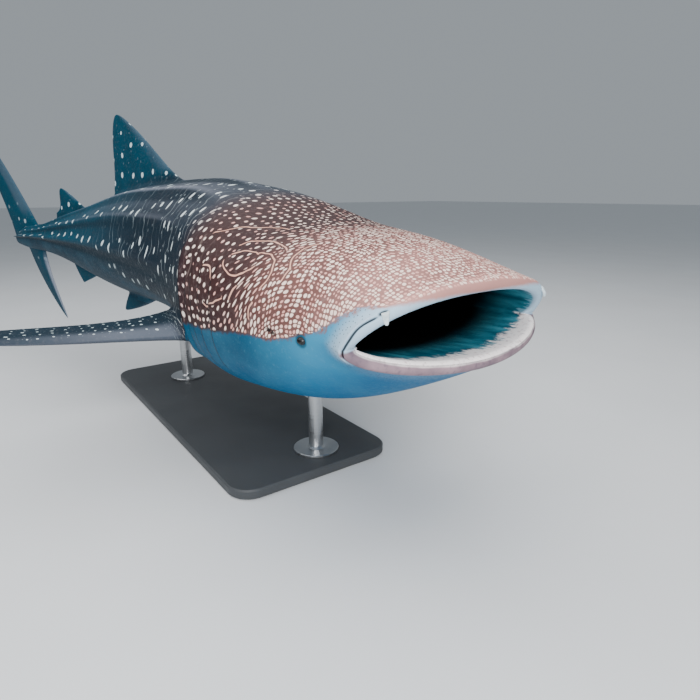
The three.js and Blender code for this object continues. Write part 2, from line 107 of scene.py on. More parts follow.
def side_degrees(t):
    """Angle down from the top of a section, 0 to 180, the same on both sides."""
    return np.degrees(np.abs(np.mod(t + np.pi, 2 * np.pi) - np.pi))


def placed(points):
    """Body coordinates (back from the snout, left, up) to the frame: straight as far
    as BEND_FROM, then along an arc of BEND_RADIUS to the animal's right."""
    s, y, z = points[..., 0], points[..., 1], points[..., 2]
    turn = np.maximum(s - BEND_FROM, 0) / BEND_RADIUS
    ahead = np.minimum(s, BEND_FROM) + BEND_RADIUS * np.sin(turn)
    aside = BEND_RADIUS * (1 - np.cos(turn))
    x = -ahead - y * np.sin(turn)
    return np.stack([x, y * np.cos(turn) - aside, z], -1) + SNOUT


def gill_window(t):
    """1 on the stretch of the side that the gill slits cross, 0 above and below."""
    side = side_degrees(t)
    return smooth(48, 66, side) * (1 - smooth(118, 134, side))


def gill_rise(s, t):
    """Each flap lifts slowly from one slit to its free edge at the next, then drops."""
    rise = 0
    for start, end in zip(GILL_SLITS[:-1], GILL_SLITS[1:]):
        height = LAST_FLAP_RISE if end == GILL_SLITS[-1] else FLAP_RISE
        share = np.clip((s - start) / (end - start), 0, 1)
        rise = rise + height * np.where(s <= end, share**1.5, np.exp(-(s - end) / FLAP_EDGE))
    return rise * gill_window(t)


def ridge_rise(s, t):
    """Bell-shaped ridges along the back and sides; the lowest becomes the tail's keel."""
    side = side_degrees(t)
    rise = 0
    for angle, height, spread in RIDGES:
        if angle == LOWEST_RIDGE:
            keel = 1.4 * smooth(3.6, 4.6, s) * (1 - smooth(4.75, STALK_END, s))
            along = smooth(1.4, 2.4, s) * (1 + keel)
        else:
            along = smooth(1.2, 2.0, s) * (1 - smooth(4.3, 4.8, s))
        rise = rise + height * along * hump(side - angle, spread)
    return rise


def section(s, t):
    """Rounded cross section at s: a superellipse on the half width and the heights of
    back and belly, at the angle t from the top to the left, with ridges and gills."""
    s, t = np.broadcast_arrays(np.asarray(s, float), np.asarray(t, float))
    n = squareness(s)
    across, up = np.sin(t), np.cos(t)
    size = (np.abs(across) ** n + np.abs(up) ** n) ** (1 / n)
    centre = widest(s)
    height = np.where(up >= 0, back(s) - centre, centre + belly(s))
    rise = ridge_rise(s, t) + gill_rise(s, t)
    y = half_width(s) * across / size + rise * across
    z = centre + height * up / size + rise * up
    return np.stack([s, y, z], -1)


def mouth_edge(t):
    """Edge of the mouth: two half superellipses, a squarer one above and a rounder one
    below, the upper running forward from the corners to the snout and the lower to the
    chin. Gives the points and their outward directions."""
    across, up = np.sin(t), np.cos(t)
    above = up >= 0
    power = np.where(above, UPPER_POWER, LOWER_POWER)
    size = (np.abs(across) ** power + np.abs(up) ** power) ** (1 / power)
    height = np.where(above, MOUTH_ABOVE, MOUTH_BELOW)
    reach = np.abs(up / size) ** np.where(above, 1.0, LOWER_REACH)
    front = np.where(above, 0.0, LOWER_LIP_S)
    s = CORNER_S + (front - CORNER_S) * reach
    edge = np.stack([s, MOUTH_HALF_WIDTH * across / size, MOUTH_Z + height * up / size], -1)
    out = np.stack([0 * t, across / MOUTH_HALF_WIDTH, up / height], -1)
    out /= np.linalg.norm(out, axis=-1, keepdims=True)
    return edge, out


def cheek(share, t):
    """Head from the outer side of the lip (0) to the end of the cheek (1): the body's
    section, pulled onto the lip by the square of what is left of the way."""
    share, t = np.broadcast_arrays(np.asarray(share, float), np.asarray(t, float))
    edge, out = mouth_edge(t)
    s = edge[..., 0] + (CHEEK_END - edge[..., 0]) * share
    skin, start = section(s, t), section(edge[..., 0], t)
    pull = ((1 - share) ** 2)[..., None]
    skin[..., 1:] += (edge + LIP_RADIUS * out - start)[..., 1:] * pull
    return skin


def lip(turn, t):
    """Rolled lip: half a turn about the mouth's edge, round its front."""
    turn, t = np.broadcast_arrays(np.asarray(turn, float), np.asarray(t, float))
    edge, out = mouth_edge(t)
    roll = edge + LIP_RADIUS * out * np.cos(turn)[..., None]
    roll[..., 0] -= LIP_RADIUS * np.sin(turn)
    return roll


def throat(share, t):
    """Lining of the mouth: the lip's inner edge carried back and down, swelling a
    little and closing like a rounded bag at the back."""
    share, t = np.broadcast_arrays(np.asarray(share, float), np.asarray(t, float))
    edge, out = mouth_edge(t)
    inner = edge - LIP_RADIUS * out
    narrow = np.sqrt(np.maximum(1 - share**2.6, 0)) * (1 + 0.35 * share * (1 - share))
    tall = 1 + 0.9 * share * (1 - share)
    s = inner[..., 0] + (THROAT_END - inner[..., 0]) * share
    z = MOUTH_Z - THROAT_DROP * share + (inner[..., 2] - MOUTH_Z) * narrow * tall
    return np.stack([s, inner[..., 1] * narrow, z], -1)


def rings_to_piece(name, rings, fields):
    """Closed mesh over rings of points (rows, columns, 3) with a point at each end,
    turned to face out where its volume comes out negative. fields are arrays of the
    same rows and columns, kept as attributes of the mesh."""
    rows, around = rings.shape[:2]
    points = np.concatenate([rings.reshape(-1, 3), rings[[0, -1]].mean(1)])
    at = np.arange(rows * around).reshape(rows, around)
    nxt = np.roll(at, -1, axis=1)
    quads = np.stack([at[:-1], at[1:], nxt[1:], nxt[:-1]], -1).reshape(-1, 4)
    first = np.stack([np.full(around, rows * around), at[0], nxt[0]], -1)
    last = np.stack([np.full(around, rows * around + 1), nxt[-1], at[-1]], -1)
    a, b, c, d = (points[quads[:, k]] for k in range(4))
    volume = np.einsum("ij,ij->", a, np.cross(b, c) + np.cross(c, d))
    order = -1 if volume < 0 else 1
    corners = np.concatenate([faces[:, ::order].ravel() for faces in (quads, first, last)])
    sizes = np.concatenate([np.full(len(quads), 4), np.full(2 * around, 3)])
    starts = np.concatenate([[0], np.cumsum(sizes)[:-1]])
    mesh = bpy.data.meshes.new(name)
    mesh.vertices.add(len(points))
    mesh.vertices.foreach_set("co", points.ravel())
    mesh.loops.add(len(corners))
    mesh.loops.foreach_set("vertex_index", corners.astype(np.int32))
    mesh.polygons.add(len(sizes))
    mesh.polygons.foreach_set("loop_start", starts.astype(np.int32))
    mesh.polygons.foreach_set("use_smooth", np.ones(len(sizes), bool))
    mesh.update(calc_edges=True)
    for field, values in fields.items():
        values = np.broadcast_to(values, rings.shape)
        values = np.concatenate([values.reshape(-1, 3), values[[0, -1]].mean(1)])
        layer = mesh.attributes.new(field, "FLOAT_VECTOR", "POINT")
        layer.data.foreach_set("vector", values.astype(np.float32).ravel())
    mesh.validate()
    piece = bpy.data.objects.new(name, mesh)
    bpy.context.scene.collection.objects.link(piece)
    return piece


# Spacing of the spots along the head and the trunk, and rows of spots to each band
# between two ridges, by distance from the snout
head_spacing = spline(
    [0, 0.3, 0.5, 0.65, 0.8, 1.0, 1.3, 1.6],
    [0.0165, 0.0175, 0.0200, 0.026, 0.036, 0.044, 0.050, 0.055],
)
trunk_spacing = spline([1.2, 1.7, 2.1, 2.5, 4.0, 5.6], [0.085, 0.105, 0.125, 0.140, 0.140, 0.11])
rows_to_band = spline([1.2, 1.6, 2.0, 2.6, 3.0], [2.6, 1.7, 1.1, 1.0, 1.0])
lattice_s = np.linspace(-0.1, 6.0, 1600)

# Where the dark back ends: degrees down from the top by distance from the snout,
# and near the mouth the distance from the lip by degrees
border_angle = spline(
    [0, 0.31, 0.55, 0.70, 0.86, 1.26, 1.8, 2.4, 3.1, 3.6, 4.2, STALK_END],
    [86, 88, 96, 96, 99, 104, 112, 117, 106, 100, 96, 94],
)
BORDER_DEGREES = [0, 7, 26, 42, 50, 54, 58.2, 73.5, 84.8, 92, 180]
BORDER_FROM_LIP = [-0.062, -0.059, -0.046, -0.026, -0.005, 0.025, 0.065, 0.11, 0.165, 0.30, 0.60]
METRES_TO_DEGREE = 0.0085


def along(spacing, s):
    """Number of spots between the snout and s: the sum of 1 / spacing."""
    steps_to = np.cumsum(np.diff(lattice_s) / spacing(lattice_s[:-1]))
    return np.interp(s, lattice_s, np.concatenate([[0], steps_to]))


def tones(s, angle):
    """Warmth of the hide (1 at the snout, 0 at the tail), lightness and spot strength.
    Between ridges the trunk is darker just under each ridge and paler on its top."""
    warmth = 1 - 0.30 * smooth(0.10, 0.60, s) - 0.20 * smooth(0.5, 0.9, s)
    warmth = warmth - 0.22 * smooth(1.15, 1.6, s) - 0.28 * smooth(1.9, 4.0, s)
    light = 0 * angle
    for ridge, _, spread in RIDGES:
        light = light + 0.24 * hump(angle - ridge, spread * 0.5) - 0.40 * hump(angle - ridge - 7, 5)
    light = light - 0.35 * hump(angle - LOWEST_RIDGE - 9, 6)
    light = light - 0.24 * smooth(86, 93, angle) - 0.08 * smooth(50, 64, angle)
    light = light * smooth(1.35, 2.1, s) * (1 - 0.4 * smooth(3.9, 4.6, s))
    saddle = (1 - smooth(35, 65, angle)) * smooth(1.0, 1.7, s) * (1 - smooth(3.2, 4.2, s))
    return np.stack([warmth + 0 * angle, light + 0.22 * saddle, 1 + 0 * angle], -1)


def markings(s, girth, angle, side, from_lip=1.0, depth=0.0):
    """The attributes that the hide's pattern reads: places in the rows of spots, place
    on the flank, and the distance beyond the border of the pale belly, which is the
    larger of the degrees past its angle and the way that its line keeps from the lip
    less the point's own way from the lip."""
    s, girth, angle, side, from_lip, depth = np.broadcast_arrays(s, girth, angle, side, from_lip, depth)
    border = np.interp(angle, BORDER_DEGREES, BORDER_FROM_LIP)
    under = np.maximum((angle - border_angle(s)) * METRES_TO_DEGREE, border - from_lip)
    head_rows = np.stack([along(head_spacing, s), side * girth / head_spacing(s), 0 * s], -1)
    trunk_rows = np.stack([along(trunk_spacing, s), side * angle / BAND * rows_to_band(s), 0 * s], -1)
    return {
        "head_rows": head_rows,
        "trunk_rows": trunk_rows,
        "flank": np.stack([s, girth, angle / 100], -1),
        "edge": np.stack([under, from_lip, depth], -1),
        "tone": tones(s, angle),
    }


# Rows of the skin: close together at each slit, then over the cheek, the lip and the
# throat
t_ring = np.linspace(0, 2 * np.pi, COLUMNS, endpoint=False)[None, :]
gill_rows = []
for start, end in zip(GILL_SLITS[-2::-1], GILL_SLITS[:0:-1]):
    gill_rows += [end + 0.014, end + 0.008, end + 0.004, end + 0.001, end]
    gill_rows += [end - share * (end - start) for share in (0.06, 0.18, 0.36, 0.56, 0.76)]
trunk_s = np.concatenate([
    np.linspace(STALK_END, 1.352, 118, endpoint=False),
    gill_rows,
    np.linspace(GILL_SLITS[0], CHEEK_END, 18, endpoint=False),
])
cheek_share = np.linspace(1, 0, 62) ** 1.15
lip_turn = np.linspace(0, np.pi, 33)[1:]
throat_share = np.linspace(0, 1, 44)[1:-1] ** 1.1
outside = np.concatenate([section(trunk_s[:, None], t_ring), cheek(cheek_share[:, None], t_ring)])
roll, lining = lip(lip_turn[:, None], t_ring), throat(throat_share[:, None], t_ring)
shell = np.concatenate([outside, roll])

# Girth: distance round the ring from the top, the same on both sides
HALF_RING = COLUMNS // 2
girth = np.zeros((len(outside), COLUMNS))
pace = np.linalg.norm(np.diff(outside[:, : HALF_RING + 1, 1:], axis=1), axis=-1)
girth[:, 1 : HALF_RING + 1] = np.cumsum(pace, axis=1)
girth[:, HALF_RING + 1 :] = girth[:, HALF_RING - 1 : 0 : -1]
girth = np.concatenate([girth, np.repeat(girth[-1:], len(roll), 0)])
side = np.where(t_ring < np.pi, 1.0, -1.0) + np.zeros((len(shell), 1))
degrees = side_degrees(t_ring) + np.zeros((len(shell), 1))

# Distance from the lip's outer side along the skin, negative round the roll
from_lip = np.ones((len(outside), COLUMNS))
run = np.linalg.norm(np.diff(outside[len(trunk_s) :], axis=0), axis=-1)
from_lip[len(trunk_s) : -1] = np.cumsum(run[::-1], axis=0)[::-1]
from_lip[-1] = 0
from_lip = np.concatenate([from_lip, -lip_turn[:, None] * LIP_RADIUS + 0 * t_ring])

# Fold that runs over the rolled lip from under each corner of the mouth to the
# nostril, with a low swollen rim outside it; pits of the nostrils and spiracles
NOSTRIL_DEGREES, NOSTRIL_FROM_LIP = 53, -0.0170
SPIRACLE_S, SPIRACLE_GIRTH = 0.537, 0.689
FOLD_DEPTH, RIM_HEIGHT, NOSTRIL_DEPTH, SPIRACLE_DEPTH, CORNER_FILL = 0.010, 0.0035, 0.012, 0.008, 0.020
inward = np.concatenate([
    np.stack([0 * t_ring, -np.sin(t_ring), -np.cos(t_ring)], -1) + np.zeros((len(outside), 1, 1)),
    (mouth_edge(t_ring)[0] - roll) / LIP_RADIUS,
])
fold_at = -0.021 + 0.009 * hump(degrees - 68, 9) + 0.022 * smooth(88, 101, degrees)
fold_reach = smooth(55, 60, degrees) * (1 - smooth(103, 110, degrees))
fold = fold_reach * hump(from_lip - fold_at, 0.0042)
rim = fold_reach * hump(from_lip - fold_at - 0.0085, 0.0045)
nostril = hump(from_lip - NOSTRIL_FROM_LIP, 0.0070) * hump(degrees - NOSTRIL_DEGREES, 1.9)
spiracle = hump(shell[..., 0] - SPIRACLE_S, 0.022) * hump(girth - SPIRACLE_GIRTH, 0.008) * (from_lip > 0.2)
corner = hump(degrees - 92, 6) * smooth(-0.030, -0.066, from_lip)
shell[..., 1] -= side * CORNER_FILL * corner
pits = FOLD_DEPTH * fold - RIM_HEIGHT * rim + NOSTRIL_DEPTH * nostril + SPIRACLE_DEPTH * spiracle
shell += inward * pits[..., None]

rings = np.concatenate([shell, lining])
lining_like = np.ones(lining.shape[:2])
marks_s = rings[..., 0].copy()
marks_s[len(outside) : len(shell)] = outside[-1:, :, 0] + from_lip[len(outside) :]
fields = markings(
    marks_s,
    np.concatenate([girth, girth[-1:] * lining_like]),
    np.concatenate([degrees, degrees[-1:] * lining_like]),
    np.concatenate([side, side[-1:] * lining_like]),
    np.concatenate([from_lip, -0.2 * lining_like]),
    np.concatenate([0 * from_lip, throat_share[:, None] * lining_like]),
)

# Dark places: the slits, the shade behind the last flap, the ring round the eye, and
# the folds and pits
EYE_SHARE, EYE_ANGLE, EYE_RADIUS, EYE_DEPTH = 0.6, 93.0, 0.021, 0.007
slit = sum(hump(shell[..., 0] - end - 0.003, 0.006) for end in GILL_SLITS[1:])
behind = np.maximum(shell[..., 0] - GILL_SLITS[-1], 0)
slit = slit + 0.9 * np.exp(-behind / 0.07) * (behind > 0)
eye_at = cheek(EYE_SHARE, np.radians(EYE_ANGLE))
from_eye = np.linalg.norm((shell - eye_at)[..., [0, 2]], axis=-1)
dark = slit * gill_window(t_ring) + 0.50 * smooth(0.034, 0.022, from_eye)
dark = dark + 1.3 * fold + 1.9 * nostril + 1.5 * spiracle - 0.5 * rim
fields["tone"][: len(shell), :, 1] -= dark
skin = rings_to_piece("body_skin", placed(rings), fields)


def srgb(red, green, blue):
    """Screen colour 0 to 255 to the linear colour of a shader socket."""
    c = np.array([red, green, blue]) / 255
    linear = np.where(c <= 0.04045, c / 12.92, ((c + 0.055) / 1.055) ** 2.4)
    return (*linear.tolist(), 1.0)


class Finish:
    """A material built of nodes; each method adds its nodes and gives their output."""

    def __init__(self, name):
        self.material = bpy.data.materials.new(name)
        self.material.use_nodes = True
        self.tree = self.material.node_tree
        self.shader = self.tree.nodes["Principled BSDF"]

    def add(self, kind, values=(), **settings):
        node = self.tree.nodes.new(kind)
        for key, value in settings.items():
            setattr(node, key, value)
        for key, value in dict(values).items():
            if isinstance(value, bpy.types.NodeSocket):
                self.tree.links.new(value, node.inputs[key])
            elif value is not None:
                node.inputs[key].default_value = value
        return node

    def math(self, operation, a, b=None):
        return self.add("ShaderNodeMath", {0: a, 1: b}, operation=operation).outputs[0]

    def plus(self, a, b):
        return self.math("ADD", a, b)

    def minus(self, a, b):
        return self.math("SUBTRACT", a, b)

    def times(self, a, b):
        return self.math("MULTIPLY", a, b)

    def larger(self, a, b):
        return self.math("MAXIMUM", a, b)

    def step(self, value, low, high, bottom=0.0, top=1.0):
        values = {"Value": value, "From Min": low, "From Max": high, "To Min": bottom, "To Max": top}
        return self.add("ShaderNodeMapRange", values, interpolation_type="SMOOTHSTEP").outputs[0]

    def blend(self, share, a, b):
        return self.add("ShaderNodeMix", {0: share, 6: a, 7: b}, data_type="RGBA").outputs[2]

    def vector(self, operation, a, b):
        node = self.add("ShaderNodeVectorMath", {0: a, 1: b}, operation=operation)
        return node.outputs["Value" if operation == "DISTANCE" else "Vector"]

    def split(self, vector):
        return self.add("ShaderNodeSeparateXYZ", {0: vector}).outputs

    def noise(self, vector, scale, detail=2.0, rough=0.5, output="Fac"):
        values = {"Vector": vector, "Scale": scale, "Detail": detail, "Roughness": rough}
        return self.add("ShaderNodeTexNoise", values).outputs[output]

    def swayed(self, vector, over, scale, detail, by):
        shift = self.noise(over, scale, detail, output="Color")
        shift = self.vector("SUBTRACT", shift, (0.5, 0.5, 0.5))
        return self.vector("ADD", vector, self.vector("MULTIPLY", shift, (by, by, by)))

    def cells(self, vector, randomness, feature="F1"):
        values = {"Vector": vector, "Scale": 1.0, "Randomness": randomness}
        return self.add("ShaderNodeTexVoronoi", values, voronoi_dimensions="2D", feature=feature).outputs

    def attribute(self, name):
        return self.add("ShaderNodeAttribute", attribute_name=name).outputs["Vector"]

    def place(self):
        return self.add("ShaderNodeTexCoord").outputs["Object"]

    def finish(self, colour, roughness, height=None, distance=0.001, strength=1.0, shine=0.5):
        self.tree.links.new(colour, self.shader.inputs["Base Color"])
        self.shader.inputs["Specular IOR Level"].default_value = shine
        self.tree.links.new(roughness, self.shader.inputs["Roughness"])
        if height is not None:
            bump = {"Height": height, "Distance": distance, "Strength": strength}
            normal = self.add("ShaderNodeBump", bump).outputs[0]
            self.tree.links.new(normal, self.shader.inputs["Normal"])
        return self.material


class Hide(Finish):
    """The hide's material, with the values kept on its mesh, and the noises and the
    cells of the head that several of its parts read."""

    def __init__(self, name):
        super().__init__(name)
        self.head_rows, self.trunk_rows = self.attribute("head_rows"), self.attribute("trunk_rows")
        self.flank = self.attribute("flank")
        self.s, _, self.angle = self.split(self.flank)
        self.under, self.from_lip, self.depth = self.split(self.attribute("edge"))
        self.warmth, self.light, self.spot_share = self.split(self.attribute("tone"))
        self.here = self.place()
        self.grain = self.noise(self.here, 60.0, 4.0, 0.6)
        self.blotch = self.noise(self.here, 5.0, 3.0, 0.6)
        self.ragged = self.noise(self.here, 9.0)
        self.head_at = self.swayed(self.head_rows, self.head_rows, 0.13, 2.0, 3.4)
        head_cells = self.cells(self.head_at, 0.42)
        self.from_middle = head_cells["Distance"]
        self.head_chance = self.split(head_cells["Color"])[0]


def back_colour(f):
    """Back: teal tail, slate trunk, dark brown cheek, pink snout, paler still on the
    upper lip, with worn patches and a dusty grain."""
    colour = f.blend(f.step(f.warmth, 0.0, 0.28), srgb(0, 64, 84), srgb(8, 30, 44))
    colour = f.blend(f.step(f.warmth, 0.28, 0.50), colour, srgb(58, 36, 36))
    colour = f.blend(f.step(f.warmth, 0.50, 0.80), colour, srgb(112, 76, 71))
    colour = f.blend(f.step(f.warmth, 0.80, 1.0), colour, srgb(158, 114, 107))
    worn = f.blend(0.55, colour, srgb(20, 22, 28))
    colour = f.blend(f.step(f.blotch, 0.40, 0.75, 0.0, 0.40), colour, worn)
    dusty = f.blend(f.step(f.warmth, 0.2, 0.6, 0.12, 0.25), colour, srgb(190, 176, 174))
    colour = f.blend(f.step(f.grain, 0.45, 0.80, 0.0, 0.50), colour, dusty)
    return f.blend(f.step(f.from_lip, 0.03, -0.01, 0.0, 0.8), colour, srgb(190, 140, 132))


def head_spots(f):
    """Spots of the head, set close like cobbles: inside a round of each cell and clear
    of the cell's edge."""
    from_edge = f.cells(f.head_at, 0.42, "DISTANCE_TO_EDGE")["Distance"]
    size = f.times(f.step(f.s, 0.45, 0.95, 0.330, 0.180), f.step(f.head_chance, 0.1, 0.7, 0.72, 1.08))
    size = f.plus(size, f.step(f.under, -0.11, -0.02, 0.0, 0.07))
    round_spot = f.step(f.minus(f.from_middle, size), 0.08, -0.05)
    spots = f.times(round_spot, f.step(from_edge, 0.05, 0.15))
    return f.times(spots, f.step(f.s, 1.42, 1.30))


def trunk_spots(f):
    """Spots of the trunk in rows, with smaller and fainter ones scattered between."""
    at = f.swayed(f.trunk_rows, f.trunk_rows, 0.8, 1.0, 0.5)
    cells = f.cells(at, 0.42)
    chance = f.split(cells["Color"])[0]
    size = f.times(f.step(f.s, 1.3, 2.2, 0.125, 0.098), f.step(chance, 0.0, 0.9, 0.80, 1.18))
    spots = f.step(f.minus(cells["Distance"], size), 0.020, -0.016)
    small_cells = f.cells(f.vector("MULTIPLY", at, (1.9, 2.3, 0.0)), 0.8)
    keep = f.step(f.split(small_cells["Color"])[1], 0.50, 0.56)
    small = f.times(f.step(small_cells["Distance"], 0.115, 0.06), keep)
    small = f.times(small, f.step(f.s, 2.6, 1.8, 0.25, 1.0))
    spots = f.larger(spots, f.times(small, 0.40))
    return f.times(spots, f.step(f.s, 1.30, 1.42))


def cross_lines(f):
    """Thin pale lines across the trunk, wavy and broken, fainter on the back and
    towards the tail, and none on the fins."""
    wave = f.noise(f.vector("MULTIPLY", f.flank, (3.0, 5.0, 0.0)), 1.0)
    lane = f.plus(f.times(f.s, 15.0), f.times(wave, 3.4))
    off = f.math("ABSOLUTE", f.minus(f.math("FRACT", lane), 0.5))
    breaks = f.noise(f.vector("MULTIPLY", f.flank, (16.0, 3.5, 0.0)), 1.0, 1.0)
    lines = f.times(f.step(off, 0.11, 0.02), f.step(breaks, 0.44, 0.62))
    lines = f.times(lines, f.step(f.s, 1.0, 1.5, 0.0, 0.26))
    lines = f.times(lines, f.step(f.s, 3.4, 2.3, 0.12, 1.0))
    lines = f.times(lines, f.step(f.angle, 0.20, 0.65, 0.45, 1.0))
    return f.times(lines, f.step(f.depth, -0.5, 0.0))


# Long pale lines on the cheek, each an arc through three points (back from the
# snout, girth), the same on both sides
CHEEK_LINES = [
    ((0.900, 0.506), (0.830, 0.463), (0.758, 0.455)),
    ((0.758, 0.455), (0.640, 0.449), (0.604, 0.522)),
    ((0.911, 0.453), (0.850, 0.398), (0.768, 0.372)),
    ((0.768, 0.372), (0.700, 0.366), (0.636, 0.385)),
    ((0.555, 0.283), (0.573, 0.365), (0.541, 0.430)),
    ((0.541, 0.430), (0.530, 0.462), (0.532, 0.500)),
    ((1.155, 0.471), (1.000, 0.340), (0.826, 0.249)),
    ((0.909, 0.549), (0.800, 0.575), (0.712, 0.504)),
    ((0.751, 0.602), (0.775, 0.635), (0.789, 0.671)),
    ((0.638, 0.623), (0.649, 0.660), (0.647, 0.695)),
    ((0.984, 0.756), (0.910, 0.735), (0.838, 0.688)),
    ((1.080, 0.640), (1.020, 0.600), (0.960, 0.640)),
]


def arc_through(a, b, c):
    """Circle through three points: centre from the two mid-perpendiculars, radius,
    and how far the ends lie from the middle point."""
    a, b, c = (np.array(p) for p in (a, b, c))
    centre = np.linalg.solve(2 * np.array([b - a, c - a]), [b @ b - a @ a, c @ c - a @ a])
    reach = max(np.linalg.norm(a - b), np.linalg.norm(c - b))
    return centre, float(np.linalg.norm(a - centre)), float(reach)


def cheek_arcs(f):
    """The cheek's long arcs, and the room beside them that holds no spots."""
    at = f.vector("MULTIPLY", f.swayed(f.flank, f.here, 9.0, 2.0, 0.045), (1.0, 1.0, 0.0))
    arcs, room = 0.0, 0.0
    for points in CHEEK_LINES:
        centre, radius, reach = arc_through(*points)
        from_arc = f.math("ABSOLUTE", f.minus(f.vector("DISTANCE", at, (*centre, 0.0)), radius))
        within = f.step(f.vector("DISTANCE", at, (*points[1], 0.0)), reach * 1.06, reach * 0.96)
        arcs = f.larger(arcs, f.times(f.step(from_arc, 0.0044, 0.0014), within))
        room = f.larger(room, f.times(f.step(from_arc, 0.015, 0.009), within))
    return arcs, room


def belly_share(f):
    """How pale belly takes over from the back: 1 beyond a scalloped, ragged border,
    softer and flecked about the snout, straighter along the trunk."""
    scallop = f.times(f.minus(f.step(f.from_middle, 0.5, 0.1), 0.5), 0.008)
    ruffle = f.minus(f.times(f.minus(f.ragged, 0.5), 0.03), scallop)
    border = f.plus(f.under, f.times(ruffle, f.step(f.from_lip, 0.0, 0.05, 0.25, 1.0)))
    border = f.times(border, f.step(f.s, 1.2, 2.2, 1.0, 0.25))
    soft = f.times(f.step(f.s, 0.50, 0.35), f.step(f.from_lip, -0.01, 0.03))
    flecks = f.times(f.minus(f.grain, 0.5), f.times(soft, 0.06))
    border = f.plus(f.times(border, f.plus(1.0, f.times(soft, -0.60))), flecks)
    return f.step(border, -0.010, 0.012)


def belly_colour(f):
    """Underside: blue, bluish white about the mouth with small dark pores, deep teal
    along the trunk, faintly mottled."""
    colour = f.blend(f.step(f.s, 0.15, 0.75), srgb(50, 142, 182), srgb(0, 70, 100))
    colour = f.blend(f.step(f.under, 0.05, 0.45), colour, srgb(0, 92, 136))
    near_lip = f.times(f.step(f.from_lip, 0.13, 0.005), f.step(f.angle, 1.12, 0.96, 0.15, 1.0))
    colour = f.blend(near_lip, colour, srgb(172, 198, 218))
    colour = f.blend(f.step(f.s, 1.1, 2.2), colour, srgb(0, 46, 66))
    colour = f.blend(f.step(f.blotch, 0.40, 0.70, 0.0, 0.12), colour, srgb(90, 160, 186))
    colour = f.blend(f.step(f.grain, 0.50, 0.80, 0.0, 0.12), colour, srgb(150, 196, 212))
    pore_cells = f.cells(f.vector("MULTIPLY", f.flank, (55.0, 55.0, 0.0)), 1.0)
    pores = f.times(f.step(pore_cells["Distance"], 0.15, 0.07), f.step(f.from_lip, 0.14, 0.06))
    pores = f.times(pores, f.step(f.from_lip, 0.0, 0.012))
    return f.blend(pores, colour, srgb(40, 48, 58))


def low_lip_colour(f, white):
    """Lower lip: mottled pinkish roll, white inner edge, a row of dark dots."""
    colour = f.blend(f.step(f.blotch, 0.3, 0.7), srgb(104, 88, 100), srgb(160, 136, 144))
    colour = f.blend(f.step(f.grain, 0.50, 0.75, 0.0, 0.50), colour, srgb(84, 76, 92))
    uneven = f.plus(f.from_lip, f.times(f.minus(f.ragged, 0.5), 0.016))
    colour = f.blend(f.step(uneven, -0.043, -0.055), colour, white)
    from_row = f.math("ABSOLUTE", f.plus(f.from_lip, 0.0505))
    dots = f.step(f.math("FRACT", f.times(f.angle, 150.0)), 0.25, 0.55)
    dots = f.times(dots, f.step(from_row, 0.0030, 0.0012))
    return f.blend(f.times(dots, 0.75), colour, srgb(60, 54, 66))


def lining_colour(f, white):
    """Lining of the mouth: torn white rim below and bluish above, folded teal walls,
    black throat."""
    folds = f.noise(f.vector("MULTIPLY", f.here, (4.0, 26.0, 26.0)), 1.0, 3.0)
    torn = f.noise(f.vector("MULTIPLY", f.here, (12.0, 60.0, 60.0)), 1.0, 4.0, 0.7)
    rim_end = f.plus(f.step(f.angle, 0.85, 1.25, 0.015, 0.055), f.step(torn, 0.3, 0.7, -0.03, 0.03))
    rim = f.blend(f.step(f.angle, 0.85, 1.0), srgb(120, 168, 186), white)
    wall = f.blend(f.step(folds, 0.3, 0.7), srgb(16, 84, 104), srgb(70, 148, 166))
    deep = f.plus(f.depth, f.times(f.minus(folds, 0.5), 0.05))
    colour = f.blend(f.step(f.minus(deep, rim_end), -0.015, 0.015), rim, wall)
    return f.blend(f.step(deep, 0.09, 0.27), colour, srgb(3, 4, 5))


